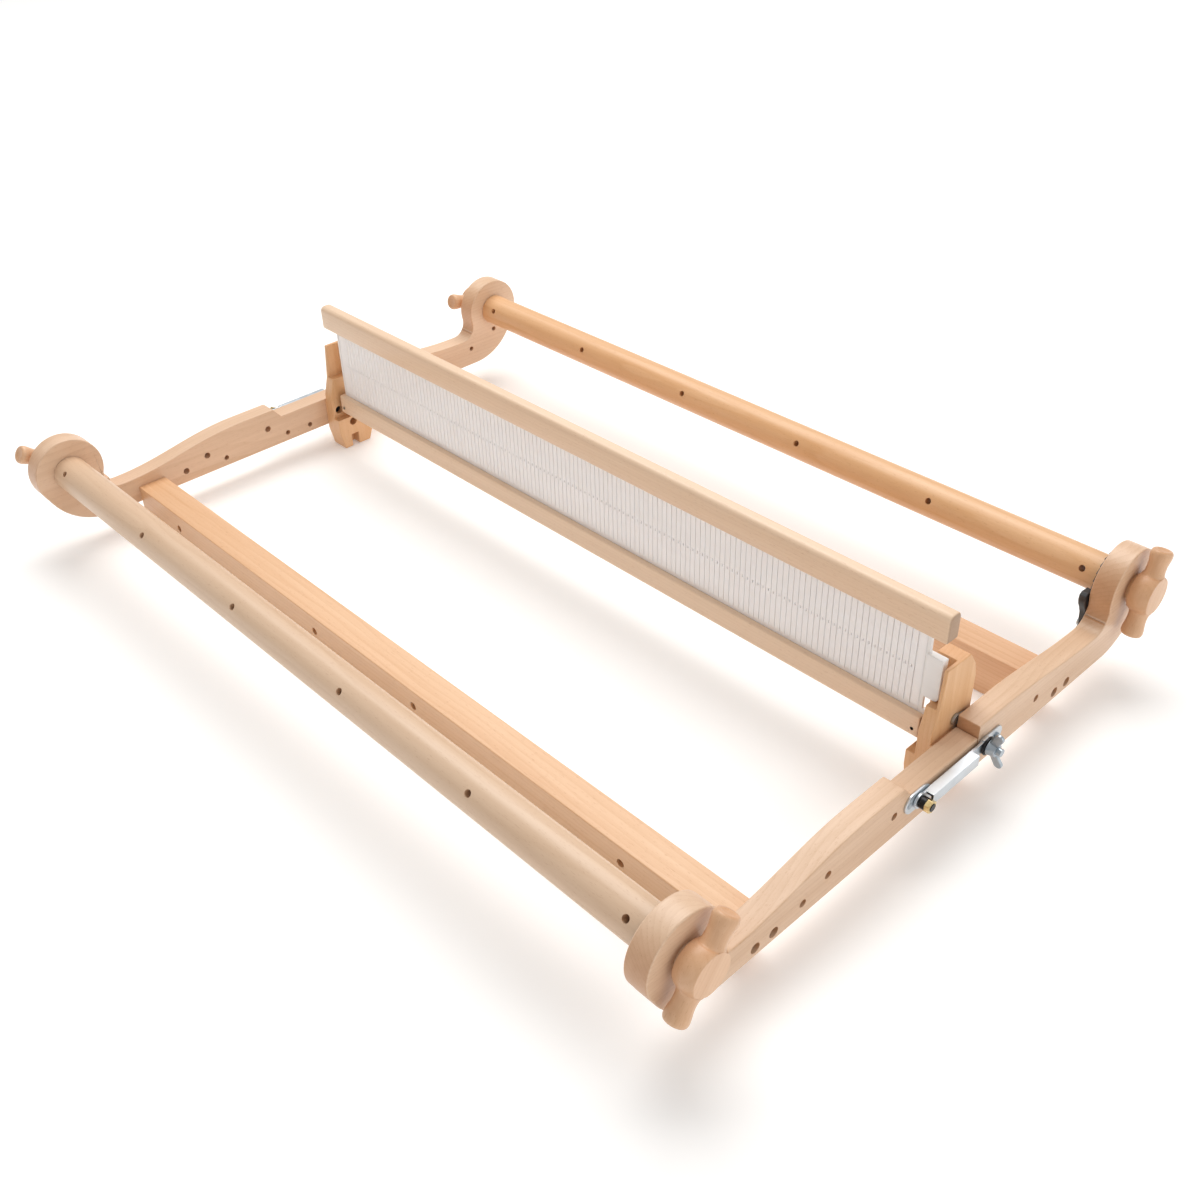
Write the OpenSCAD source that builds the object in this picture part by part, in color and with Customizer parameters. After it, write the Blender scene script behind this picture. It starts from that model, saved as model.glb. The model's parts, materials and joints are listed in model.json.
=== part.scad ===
// Folding table loom with a rigid heddle, two ratchet rollers and a pair of folding locks.
// X runs along the rollers, Y from the front (weaver's side) to the back, Z up.
// The origin is at the middle of the base. Inside the modules heights are counted from the
// roller axes, and place() lifts everything onto the base.

/* [Frame] */
// Clear width between the side frames
inner_w = 735; // [725:1:900]
// Thickness of the side frames
side_t = 18; // [17:0.5:26]
// Distance from the middle of the loom to each roller axis
axis_y = 245.3; // [240:0.1:260]
// Height of the roller axes above the base
axis_h = 77; // [70:0.5:90]
// Depth of the side frames' flat underside below the roller axes
rail_bottom = 54.5; // [50:0.5:60]
// Depth of the top of the hump below the roller axes
hump_top = 16; // [12:0.5:19]
// Depth of the front neck, next to the roller housing, below the roller axes
front_neck = 30; // [26:0.5:34]
// Depth of the rear neck below the roller axes
rear_neck = 25; // [23:0.5:32]
// Radius of the round roller housings
housing_r = 31; // [28:0.5:33]

/* [Fold] */
// Distance of the fold axis behind the middle of the loom
fold_y = 46; // [44:0.5:50]
// Depth of the fold axis below the roller axes
fold_z = 20.5; // [19:0.5:22]
// Depth of the floor of the recess below the roller axes
recess_z = 26; // [25:0.5:28]
// Front end of the recess, forward of the middle of the loom
recess_front = 31; // [25:1:45]

/* [Rollers] */
// Radius of the rollers
roller_r = 15.25; // [13:0.25:17]
// Radius of the tenons that turn in the side frames
tenon_r = 10; // [8:0.5:12]
// Radial clearance of the tenons in the side frames
tenon_gap = 0.05; // [0.02:0.01:0.1]
// Radius of the cord holes
cord_hole_r = 2.7; // [2:0.1:3.5]
// Distance between cord holes
cord_hole_pitch = 140; // [120:1:140]
// Angle of the front roller's cord holes above the horizontal
front_hole_angle = 41.75; // [0:0.25:90]
// Angle of the rear roller's cord holes above the horizontal
rear_hole_angle = 25; // [0:0.25:90]

/* [Handles] */
// Thickness of the handle hubs between their two flats
hub_t = 16.5; // [16.5:0.5:20]
// Radius of the ball in the middle of the handles
ball_r = 17.1; // [16:0.1:19]
// Distance of the handle tips from the roller axis
handle_reach = 35.3; // [34:0.1:40]
// Radius of the turned heads at the ends of the handles
head_r = 8.2; // [7.6:0.1:8.2]
// Direction of each handle, from the rear towards up: left front, right front, left rear, right rear
handle_angles = [147, 53, 164, 73]; // [0:1:180]

/* [Cross rails] */
// Depth of both cross rails, front to back
cross_d = 27; // [22:0.5:30]
// Front face of the front cross rail, forward of the middle of the loom
front_cross_y = 189; // [185:0.5:192]
// Front face of the rear cross rail, behind the middle of the loom
rear_cross_y = 145; // [143:0.5:155]
// Depth of the top of the cross rails below the roller axes
cross_top = 39.5; // [37:0.5:44]
// Radius of the peg holes
peg_hole_r = 3.2; // [2.5:0.1:4]

/* [Heddle] */
// Distance of the middle of the heddle behind the middle of the loom
heddle_y = 34; // [33:0.5:34.5]
// Thickness of the heddle's wooden bars
heddle_t = 13; // [10:0.5:13]
// Length of the top bar
heddle_top_w = 722; // [700:1:722]
// Length of the bottom bar
heddle_bottom_w = 700; // [690:1:702]
// Width of the reed
reed_w = 691; // [680:1:692]
// Thickness of the reed
reed_t = 2.4; // [2:0.2:4]
// Distance between the reed's slots
slat_pitch = 5.1; // [5:0.05:12]
// Width of the reed's slots
slot_w = 1; // [0.6:0.1:2.5]
// Radius of the eyes in the reed's slats
eye_r = 0.8; // [0.6:0.1:1.2]

/* [Latches] */
// Height of the latch pins below the roller axes
latch_z = 34; // [33:0.5:36]
// Distance of the latch pivot forward of the middle of the loom
latch_front = 24; // [20:0.5:28]
// Distance of the clamping stud behind the middle of the loom
latch_rear = 52.5; // [52:0.5:54]

/* [Ratchets] */
// Number of ratchet teeth
teeth = 24; // [12:12:36]
// Radius over the ratchet teeth
ratchet_r = 25; // [24:0.5:25.5]

/* [Hidden] */
$fn = 64;
hull_fn = 32;

beech = [0.87, 0.74, 0.58];
beech_warm = [0.84, 0.62, 0.42];
zinc = [0.78, 0.80, 0.82];
black = [0.08, 0.08, 0.09];
brass = [0.75, 0.60, 0.30];
white = [0.93, 0.92, 0.90];

in_x = inner_w / 2;
out_x = in_x + side_t;
// The handle tips reach further back than forward, so the model moves forward by half of that
shift_y = 1.3;
eps = 0.01;

// Side frame outline: u is the distance from the middle of the loom towards the roller
hump_end = 78;
neck_end = 200;
corner_r = 56;
corner_u = axis_y - 27.3;
fillet_r = 14;
joint_gap = 0.3;

// Holes right through a side frame, [u, depth], and blind holes in its inner face
front_holes = [[140, 43], [116, 36], [48, 34]];
front_blind_holes = [[97, 46], [27, 46], [1, 47]];
rear_holes = [[122, 36]];
rear_blind_holes = [[211, 36], [244, 23]];
side_hole_r = 3;
blind_hole_r = 2.4;
blind_hole_depth = 8;
cross_screw_depth = 47;
cross_screw_r = 2;
cross_screw_head_r = 4;
cross_screw_len = 60;
screw_sink = 8;

// Heddle heights above the roller axes
bar_bottom_z = -39;
bar_bottom_h = 20.5;
bar_top_z = 51;
bar_top_h = 22;
groove_depth = 6;
groove_floor = bar_bottom_z + bar_bottom_h - groove_depth;
lug_z = -2;
lug_h = 36;
lug_reach = 13.5;
lug_t = 6;
lug_r = 4;
foot_reach = 10;

// Heddle blocks
block_in = 19;
block_ledge = 2;
seat_floor = bar_bottom_z - 5;
plate_t = 2;
play = 0.3;

// Latches, measured outward from the side frame
base_t = 1.5;
leg_gap = 0.3;
leg_t = 2;
channel_w = 7.5;
channel_h = 9;
stud_r = 3;

module place() {
    translate([0, -shift_y, axis_h]) children();
}

// Draws on the right, and mirrors to the left where side is -1
module on_side(side) {
    mirror([side < 0 ? 1 : 0, 0, 0]) children();
}

// Extrudes a [y, z] outline from x0 to x1
module slab(x0, x1) {
    translate([x0, 0, 0]) rotate([90, 0, 90]) linear_extrude(x1 - x0) children();
}

// A cylinder along X from x0 to x1
module rod(x0, x1, r) {
    translate([x0, 0, 0]) rotate([0, 90, 0]) cylinder(h = x1 - x0, r = r);
}

module at_yz(y, z) {
    translate([0, y, z]) children();
}

// ---- side frames ----

// Smooth fall from the hump to the neck
function rail_top(u, neck) =
    let (t = min(max((u - hump_end) / (neck_end - hump_end), 0), 1))
    -hump_top - (neck - hump_top) * (1 - cos(180 * t)) / 2;

// The concave corner between the rail's top and the housing
function fillet_u(neck) = axis_y - sqrt(pow(housing_r + fillet_r, 2) - pow(fillet_r - neck, 2));

// A whole side frame without its holes, running towards the back
module side_body(neck, start) {
    fu = fillet_u(neck);
    fz = fillet_r - neck;
    turn = atan2(-fz, axis_y - fu);
    fillet = [
        for (i = [1 : 10]) let (a = -90 + (90 + turn) * i / 10)
        [fu + fillet_r * cos(a), fz + fillet_r * sin(a)]
    ];
    top = [for (i = [0 : 14]) let (u = hump_end + (fu - hump_end) * i / 14) [u, rail_top(u, neck)]];
    union() {
        at_yz(axis_y, 0) rod(in_x, out_x, housing_r, $fn = 96);
        slab(in_x, out_x) {
            polygon(concat(start, top, fillet, [[axis_y, -5], [axis_y, -25], [corner_u, -rail_bottom]]));
        }
        intersection() {
            at_yz(corner_u, corner_r - rail_bottom) rod(in_x, out_x, corner_r, $fn = 128);
            translate([in_x, corner_u - 5, -rail_bottom - 1]) cube([side_t, 70, rail_bottom - 17.15]);
        }
    }
}

module cross_screw_spots(cross_y) {
    for (y = [cross_y + 5, cross_y + cross_d - 5]) {
        at_yz(y, -cross_screw_depth) children();
    }
}

module tenon_bore(y) {
    at_yz(y, 0) rod(in_x - 1, out_x + 1, tenon_r + tenon_gap);
}

// Clearance and counterbore for the screws that hold a cross rail
module cross_screw_holes(cross_y) {
    cross_screw_spots(cross_y) {
        rod(in_x - 1, out_x + 1, cross_screw_r);
        rod(out_x - screw_sink, out_x + 1, cross_screw_head_r);
    }
}

module side_holes(sign, through, blind) {
    for (h = through) at_yz(sign * h[0], -h[1]) rod(in_x - 1, out_x + 1, side_hole_r);
    for (h = blind) at_yz(sign * h[0], -h[1]) rod(in_x - 1, in_x + blind_hole_depth, blind_hole_r);
}

module front_side(side) {
    start = [
        [-fold_y, -rail_bottom], [-fold_y, -recess_z], [recess_front, -recess_z],
        [recess_front + 8, -hump_top]
    ];
    color(beech) place() on_side(side) difference() {
        mirror([0, 1, 0]) side_body(front_neck, start);
        tenon_bore(-axis_y);
        cross_screw_holes(-front_cross_y);
        side_holes(-1, front_holes, front_blind_holes);
        at_yz(-latch_front, -latch_z) rod(out_x - 12, out_x + 1, stud_r);
        for (y = [-latch_front - 9, -latch_front + 9]) {
            at_yz(y, -latch_z) rod(out_x - 9, out_x + 1, 1.4);
        }
        block_screw_spots() rod(in_x - 1, in_x + 14, 2);
        if (side > 0) at_yz(-pawl_y, -pawl_z) rod(in_x - 1, in_x + 12, 2);
    }
}

module back_side(side) {
    start = [[fold_y + joint_gap, -rail_bottom], [fold_y + joint_gap, -hump_top]];
    color(beech) place() on_side(side) difference() {
        side_body(rear_neck, start);
        tenon_bore(axis_y);
        cross_screw_holes(rear_cross_y);
        side_holes(1, rear_holes, rear_blind_holes);
        at_yz(latch_rear, -latch_z) rod(out_x - 14, out_x + 1, stud_r);
        at_yz(latch_rear + 16, -latch_z - 3) rod(out_x - 9, out_x + 1, 1.4);
        hinge_screw_spots() rod(in_x - 1, in_x + 10, 1.6);
        if (side > 0) at_yz(pawl_y, -pawl_z) rod(in_x - 1, in_x + 12, 2);
    }
}

// ---- cross rails ----

module cross_rail(y) {
    h = axis_h - cross_top;
    translate([-in_x, y, -axis_h]) cube([inner_w, cross_d, h]);
}

module cross_rail_pilot_holes(cross_y) {
    for (side = [-1, 1]) on_side(side) cross_screw_spots(cross_y) {
        rod(out_x - screw_sink - cross_screw_len, in_x + 1, cross_screw_r);
    }
}

module front_cross_rail() {
    color(beech_warm) place() difference() {
        cross_rail(-front_cross_y);
        cross_rail_pilot_holes(-front_cross_y);
        for (x = [-298, -79, 53, 275]) {
            translate([x, -front_cross_y - 1, -rail_bottom]) {
                rotate([-90, 0, 0]) cylinder(h = 21, r = peg_hole_r);
            }
        }
    }
}

module rear_cross_rail() {
    color(beech_warm) place() difference() {
        cross_rail(rear_cross_y);
        cross_rail_pilot_holes(rear_cross_y);
    }
}

module cross_rail_screws(cross_y) {
    color(zinc) place() for (side = [-1, 1]) on_side(side) cross_screw_spots(cross_y) {
        x0 = out_x - screw_sink;
        rod(x0 - cross_screw_len, x0 + 0.1, cross_screw_r);
        difference() {
            rod(x0, x0 + 2, cross_screw_head_r);
            translate([x0 + 1, 0, 0]) rotate([0, 90, 0]) cylinder(h = 2, r = 1.8, $fn = 6);
        }
    }
}

// ---- rollers, handles and ratchets ----

module roller(y, hole_angle) {
    color(beech_warm) place() at_yz(y, 0) difference() {
        union() {
            rod(-in_x + 0.5, in_x - 0.5, roller_r);
            rod(-out_x - tenon_reach, out_x + tenon_reach, tenon_r);
        }
        for (x = [-2.5 : 1 : 2.5]) translate([x * cord_hole_pitch, 0, 0]) rotate([90 - hole_angle, 0, 0]) {
            cylinder(h = 3 * roller_r, r = cord_hole_r, center = true, $fn = 32);
        }
    }
}

tenon_reach = 15.5;
hub_gap = 3.25;

// Half profile of a turned handle, [radius, distance from the roller axis]: ball, neck and head
function handle_half() = let (
    ball_end = 14,
    shoulder_r = 9.2,
    neck_r = 7.1,
    neck_d = 20.5,
    head_d = handle_reach - 3.3
) concat(
    [for (a = [0 : 5 : 50]) [ball_r * cos(a), ball_r * sin(a)]],
    [[sqrt(ball_r * ball_r - ball_end * ball_end), ball_end]],
    [for (a = [0 : 15 : 90]) [neck_r + (shoulder_r - neck_r) * (1 - sin(a)),
        ball_end + 0.1 + (neck_d - ball_end - 0.1) * (1 - cos(a))]],
    [for (t = [1 : 8]) [neck_r + (head_r - neck_r) * (1 - cos(22.5 * t)) / 2,
        neck_d + 1.5 + (head_d - neck_d - 1.5) * t / 8]],
    [for (a = [20 : 20 : 80]) [head_r - 2.2 * (1 - cos(a)), head_d + (handle_reach - head_d) * sin(a)]],
    [[head_r * 0.62, handle_reach], [head_r * 0.45, handle_reach - 0.7], [0, handle_reach - 1]]
);

module handle(side, y, angle) {
    half = handle_half();
    n = len(half);
    mirrored = [for (i = [n - 1 : -1 : 1]) [half[i][0], -half[i][1]]];
    x0 = out_x + hub_gap;
    color(beech) place() on_side(side) at_yz(y, 0) difference() {
        intersection() {
            translate([x0 + hub_t / 2, 0, 0]) rotate([angle - 90, 0, 0]) {
                rotate_extrude($fn = 96) polygon(concat(mirrored, half));
            }
            translate([x0, -50, -50]) cube([hub_t, 100, 100]);
        }
        rod(out_x, out_x + tenon_reach, tenon_r);
    }
}

// Ratchet wheels and pawls sit against the inner face of the right side frame
ratchet_x0 = in_x - 2.8;
ratchet_x1 = in_x - 0.6;
pawl_x0 = in_x - 6;
pawl_y = axis_y - 19.5;
pawl_z = 35;
tooth_h = 2.2;
pitch = 360 / teeth;

// Steep faces look along the turn that the yarn's pull gives the roller
module ratchet_wheel(y, dir) {
    root = ratchet_r - tooth_h;
    saw = [for (i = [0 : teeth - 1]) each [
        [ratchet_r * cos(i * pitch), ratchet_r * sin(i * pitch)],
        [root * cos(i * pitch + 1), root * sin(i * pitch + 1)]
    ]];
    color(black) place() at_yz(y, 0) slab(ratchet_x0, ratchet_x1) {
        mirror([dir < 0 ? 1 : 0, 0]) difference() {
            polygon(saw);
            circle(r = roller_r);
        }
    }
}

function polar(p) = p[1] * [cos(p[0]), sin(p[0])];

// The rear pawl without its hole, from the roller axis
module pawl_body() {
    tip = ratchet_r - tooth_h + 0.4;
    inner = ratchet_r + 1.2;
    slab(pawl_x0, ratchet_x1) polygon(concat(
        [polar([181.8, tip]), polar([186.5, tip + 1.1])],
        [for (a = [191 : 9 : 218]) polar([a, inner])],
        [[-14.5, -30], [-15, -34], [-19.5, -38], [-24.5, -35], [-26.6, -27]],
        [[-27.6, -21], [-30.5, -15], [-33.5, -10], [-34.8, -5.5], [-34.4, -1.6], [-31.8, 0.2], [-28, -0.2]]
    ));
    at_yz(pawl_y - axis_y, -pawl_z) rod(pawl_x0, ratchet_x1, 5.5);
    slab(pawl_x0, ratchet_x1) polygon([[-20, -32], [-39, -42.6], [-40.6, -44.6], [-38.6, -46], [-19, -39]]);
}

module pawl(sign) {
    color(black) place() difference() {
        mirror([0, sign < 0 ? 1 : 0, 0]) at_yz(axis_y, 0) union() pawl_body();
        at_yz(sign * pawl_y, -pawl_z) rod(pawl_x0 - 1, in_x, 2.05);
    }
}

module pawl_screw(sign) {
    color(zinc) place() at_yz(sign * pawl_y, -pawl_z) difference() {
        union() {
            rod(pawl_x0 - 0.2, in_x + 12, 2);
            rod(pawl_x0 - 2.2, pawl_x0 - 0.1, 3.8);
        }
        translate([pawl_x0 - 2.3, 0, 0]) rotate([0, 90, 0]) cylinder(h = 1.2, r = 1.8, $fn = 6);
    }
}

// ---- heddle blocks and fold hinge ----

block_outline = [
    [28, 31], [55, 31], [63, 19], [66, 7], [66, -22], [60, -62], [54, -77],
    [24, -77], [20, -58], [20, -20], [25, -2], [26.5, 15]
];
rib_y = 42.5;
seat_in = in_x - heddle_bottom_w / 2 - 4;
pad_x = in_x - plate_t - play;
screw_seat = 9;
pin_in = 12;

module block_screw_spots() {
    at_yz(27, -36) children();
    at_yz(37, -50) children();
}

module hinge_screw_spots() {
    at_yz(fold_y + 22, -fold_z - 8) children();
    at_yz(fold_y + 32, -fold_z - 12) children();
}

module heddle_block(side) {
    color(beech) place() on_side(side) difference() {
        slab(in_x - block_in - 2, in_x) polygon(block_outline);
        // Thin upper plate, with the heddle's ledge below it
        translate([in_x - 30, 0, -block_ledge]) cube([24.5, rib_y, 60]);
        // Seat of the heddle, in front of the rear rib, and a notch between the feet
        translate([in_x - 30, 0, seat_floor]) cube([30 - seat_in, rib_y, 2 * axis_h]);
        translate([in_x - 30, 33, -axis_h - 1]) cube([19, 8, 14]);
        // Room for the hinge plate and the back frame to turn
        translate([pad_x, -1, -29]) cube([10, 80, 80]);
        translate([pad_x, fold_y - 0.5, -rail_bottom - 0.5]) cube([10, 80, 80]);
        // The rib is slimmer towards its top
        translate([in_x - 23, rib_y - 1, 1]) rotate([0, -12, 0]) translate([-10, 0, 0]) cube([10, 60, 60]);
        at_yz(fold_y, -fold_z) rod(in_x - pin_in, in_x + 1, stud_r);
        block_screw_spots() {
            rod(in_x - 40, in_x + 1, 2);
            rod(in_x - 40, in_x - screw_seat, 4.05);
            translate([in_x - screw_seat - eps, 0, 0]) rotate([0, 90, 0]) {
                cylinder(h = 2.46, r1 = 4.05, r2 = 2);
            }
        }
    }
}

module heddle_block_screws() {
    color(zinc) place() for (side = [-1, 1]) on_side(side) block_screw_spots() difference() {
        union() {
            rod(in_x - screw_seat, in_x + 14, 2);
            translate([in_x - screw_seat, 0, 0]) rotate([0, 90, 0]) cylinder(h = 2.4, r1 = 4, r2 = 2);
        }
        translate([in_x - screw_seat - eps, 0, 0]) rotate([0, 90, 0]) cylinder(h = 1.4, r = 1.4, $fn = 6);
    }
}

module hinge_pins() {
    color(zinc) place() for (side = [-1, 1]) on_side(side) at_yz(fold_y, -fold_z) {
        rod(in_x - pin_in, in_x - 0.2, stud_r);
    }
}

module hinge_plate(side) {
    x0 = in_x - plate_t;
    color(zinc) place() on_side(side) difference() {
        union() {
            at_yz(fold_y, -fold_z) rod(x0, in_x, 4.4);
            slab(x0, in_x) polygon([
                [fold_y + 2, -fold_z + 3.5], [fold_y + 34, -fold_z - 5],
                [fold_y + 38, -fold_z - 16], [fold_y + 10, -fold_z - 16], [fold_y + 2, -fold_z - 3.5]
            ]);
        }
        at_yz(fold_y, -fold_z) rod(x0 - 1, in_x + 1, stud_r + 0.05);
        hinge_screw_spots() {
            rod(x0 - 1, in_x + 1, 1.6);
            translate([x0 - eps, 0, 0]) rotate([0, 90, 0]) cylinder(h = 1.66, r1 = 3.25, r2 = 1.6);
        }
    }
}

module hinge_plate_screws() {
    x0 = in_x - plate_t;
    color(zinc) place() for (side = [-1, 1]) on_side(side) hinge_screw_spots() difference() {
        union() {
            rod(x0, in_x + 10, 1.6);
            translate([x0, 0, 0]) rotate([0, 90, 0]) cylinder(h = 1.6, r1 = 3.2, r2 = 1.6);
        }
        translate([x0 - eps, 0, 0]) rotate([0, 90, 0]) cylinder(h = 1, r = 1.1, $fn = 6);
    }
}

// ---- folding locks ----

// A plate with round ends, from y0 to y1
module oblong(y0, y1, z, r) {
    translate([y0 + r, z]) circle(r = r);
    translate([y1 - r, z]) circle(r = r);
    translate([y0 + r, z - r]) square([y1 - y0 - 2 * r, 2 * r]);
}

module latch_base_plates() {
    color(zinc) place() for (side = [-1, 1]) on_side(side) difference() {
        slab(out_x, out_x + base_t) oblong(-latch_front - 14, -latch_front + 14, -latch_z, 8);
        at_yz(-latch_front, -latch_z) rod(out_x - 1, out_x + 5, stud_r);
        for (y = [-latch_front - 9, -latch_front + 9]) {
            at_yz(y, -latch_z) rod(out_x - 1, out_x + 5, 1.4);
        }
    }
}

// Screws with low heads
module plate_screw(x) {
    rod(x - 9, x + eps, 1.4);
    rod(x, x + 0.25, 2.6);
}

module latch_base_screws() {
    color(zinc) place() for (side = [-1, 1]) on_side(side) {
        for (y = [-latch_front - 9, -latch_front + 9]) {
            at_yz(y, -latch_z) plate_screw(out_x + base_t);
        }
    }
}

module latch_pivot_pins() {
    x1 = out_x + base_t + leg_gap + leg_t + 0.3;
    color(black) place() for (side = [-1, 1]) on_side(side) at_yz(-latch_front, -latch_z) {
        rod(out_x - 12, x1 + 9, stud_r);
        rod(x1, x1 + 4.5, 4.6);
    }
}

module latch_pivot_nuts() {
    x1 = out_x + base_t + leg_gap + leg_t + 0.3;
    color(brass) place() for (side = [-1, 1]) on_side(side) at_yz(-latch_front, -latch_z) difference() {
        translate([x1 + 4.5, 0, 0]) rotate([0, 90, 0]) cylinder(h = 4, r = 5, $fn = 6);
        rod(x1, x1 + 12, stud_r);
    }
}

module latch_bar(side) {
    x0 = out_x + base_t + leg_gap;
    z1 = -latch_z + 5;
    channel_y = [-latch_front + 5.5, latch_rear - 17.5];
    color(zinc) place() on_side(side) difference() {
        union() {
            slab(x0, x0 + leg_t) {
                translate([-latch_front, -latch_z]) circle(r = 6);
                translate([-latch_front, z1 - channel_h]) square([latch_rear - 3 + latch_front, channel_h]);
                translate([latch_rear - 4, -latch_z + stud_r + 0.4]) square([6, 2.6]);
                translate([latch_rear + 2, -latch_z + stud_r + 1.7]) circle(r = 1.3, $fn = 24);
            }
            translate([x0, channel_y[0], z1 - leg_t]) {
                cube([channel_w, channel_y[1] - channel_y[0], leg_t]);
            }
            translate([x0 + channel_w - leg_t, channel_y[0], z1 - channel_h]) {
                cube([leg_t, channel_y[1] - channel_y[0], channel_h]);
            }
        }
        at_yz(-latch_front, -latch_z) rod(x0 - 1, x0 + 9, stud_r + 0.05);
        // Open hook over the stud, clear of the stud's path as the loom folds
        difference() {
            at_yz(fold_y, -fold_z) rod(x0 - 1, x0 + leg_t + 1, stud_reach() + stud_r + 4);
            at_yz(fold_y, -fold_z) rod(x0 - 2, x0 + leg_t + 2, stud_reach() - stud_r - 0.3);
            translate([x0 - 3, fold_y - 60, -120]) cube([20, 60 + latch_rear - fold_y - stud_r - 0.4, 200]);
        }
    }
}

// Distance from the fold axis to the clamping stud
function stud_reach() = norm([latch_rear - fold_y, latch_z - fold_z]);

module latch_anchor_plates() {
    color(zinc) place() for (side = [-1, 1]) on_side(side) difference() {
        slab(out_x, out_x + base_t) oblong(latch_rear - 6.2, latch_rear + 23, -latch_z - 1.5, 6.2);
        at_yz(latch_rear, -latch_z) rod(out_x - 1, out_x + 5, stud_r);
        at_yz(latch_rear + 16, -latch_z - 3) rod(out_x - 1, out_x + 5, 1.4);
    }
}

module latch_anchor_screws() {
    color(zinc) place() for (side = [-1, 1]) on_side(side) {
        at_yz(latch_rear + 16, -latch_z - 3) {
            rod(out_x - 9, out_x + base_t + eps, 1.4);
            rod(out_x + base_t, out_x + base_t + 1.6, 2.8);
        }
    }
}

module clamp_studs() {
    color(zinc) place() for (side = [-1, 1]) on_side(side) at_yz(latch_rear, -latch_z) {
        rod(out_x - 14, out_x + 16, stud_r);
    }
}

module clamp_washers() {
    x0 = out_x + base_t + leg_gap + leg_t + 0.3;
    color(black) place() for (side = [-1, 1]) on_side(side) at_yz(latch_rear, -latch_z) difference() {
        rod(x0, x0 + 1.6, 7.2);
        rod(x0 - 1, x0 + 3, stud_r);
    }
}

module wing_nut(side) {
    x0 = out_x + base_t + leg_gap + leg_t + 2.2;
    color(zinc) place() on_side(side) at_yz(latch_rear, -latch_z) difference() {
        union() {
            translate([x0, 0, 0]) rotate([0, 90, 0]) cylinder(h = 6.5, r1 = 6, r2 = 4.8);
            for (a = [100, 280]) rotate([a, 0, 0]) intersection() {
                hull() {
                    translate([x0 + 3, 3, 0]) rotate([-90, 0, 0]) cylinder(h = 2, r = 2.8, $fn = hull_fn);
                    translate([x0 + 7.5, 13, 0]) sphere(r = 3.4, $fn = hull_fn);
                }
                translate([x0, 0, -1.3]) cube([12, 20, 2.6]);
            }
        }
        rod(x0 - 1, x0 + 20, stud_r + 0.05);
    }
}

// ---- heddle ----

module heddle_bar(w, z, h, groove_z) {
    r = 4;
    difference() {
        slab(-w / 2, w / 2) translate([heddle_y, z]) {
            for (sy = [-1, 1], sz = [0, 1]) {
                translate([sy * (heddle_t / 2 - r), sz == 0 ? r : h - r]) circle(r = r, $fn = 32);
            }
            translate([-heddle_t / 2 + r, 0]) square([heddle_t - 2 * r, h]);
            translate([-heddle_t / 2, r]) square([heddle_t, h - 2 * r]);
        }
        translate([-reed_w / 2 - 3, heddle_y - reed_t / 2, groove_z]) {
            cube([reed_w + 6, reed_t, groove_depth]);
        }
    }
}

module heddle_top_bar() {
    color(beech) place() heddle_bar(heddle_top_w, bar_top_z, bar_top_h, bar_top_z);
}

module heddle_bottom_bar() {
    color(beech) place() difference() {
        heddle_bar(heddle_bottom_w, bar_bottom_z, bar_bottom_h, groove_floor);
        for (side = [-1, 1]) on_side(side) {
            translate([heddle_bottom_w / 2 - 8, heddle_y - reed_t / 2, groove_floor]) {
                cube([10, reed_t, groove_depth + 1]);
            }
            end_pin_spot() rotate([90, 0, 0]) cylinder(h = 20, r = 1.5, center = true);
        }
    }
}

module end_pin_spot() {
    translate([heddle_bottom_w / 2 - 5.5, heddle_y, bar_bottom_z + 8]) children();
}

// Slats with an eye in the middle of each, and open slots between them
module heddle_reed() {
    z0 = groove_floor;
    z1 = bar_top_z + groove_depth;
    w = reed_w - 4;
    slot_z = z0 + groove_depth + 3;
    slot_h = z1 - z0 - 2 * groove_depth - 6;
    count = floor((w - 10) / slat_pitch);
    color(white) place() difference() {
        translate([-w / 2, heddle_y - reed_t / 2, z0]) cube([w, reed_t, z1 - z0]);
        for (i = [0 : count]) translate([(i - count / 2) * slat_pitch, heddle_y, slot_z]) {
            translate([-slot_w / 2, -reed_t, 0]) cube([slot_w, 2 * reed_t, slot_h]);
        }
        for (i = [0.5 : count - 0.5]) {
            translate([(i - count / 2) * slat_pitch, heddle_y, slot_z + slot_h / 2]) {
                rotate([90, 0, 0]) cylinder(h = 2 * reed_t, r = eye_r, center = true, $fn = 20);
            }
        }
    }
}

// White end piece of the reed. The right one has a lug that rests on the block's ledge and a foot
module heddle_end(side) {
    x0 = reed_w / 2 - 2;
    z0 = groove_floor;
    z1 = bar_top_z + groove_depth;
    color(white) place() on_side(side) {
        translate([x0, heddle_y - reed_t / 2, z0]) cube([3.5, reed_t, z1 - z0]);
        if (side > 0) {
            translate([0, heddle_y + lug_t / 2, 0]) rotate([90, 0, 0]) linear_extrude(lug_t) {
                translate([x0 + 2, lug_z]) square([lug_reach - lug_r, lug_h]);
                translate([x0 + 2, lug_z + lug_r]) square([lug_reach, lug_h - lug_r]);
                translate([x0 + 2 + lug_reach - lug_r, lug_z + lug_r]) circle(r = lug_r);
            }
            translate([x0 + 3, heddle_y - reed_t / 2, z0]) cube([foot_reach - 3, reed_t, groove_depth + 4]);
        }
    }
}

module heddle_end_pins() {
    color(zinc) place() for (side = [-1, 1]) on_side(side) {
        end_pin_spot() rotate([90, 0, 0]) cylinder(h = heddle_t, r = 1.5, center = true);
    }
}

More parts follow.
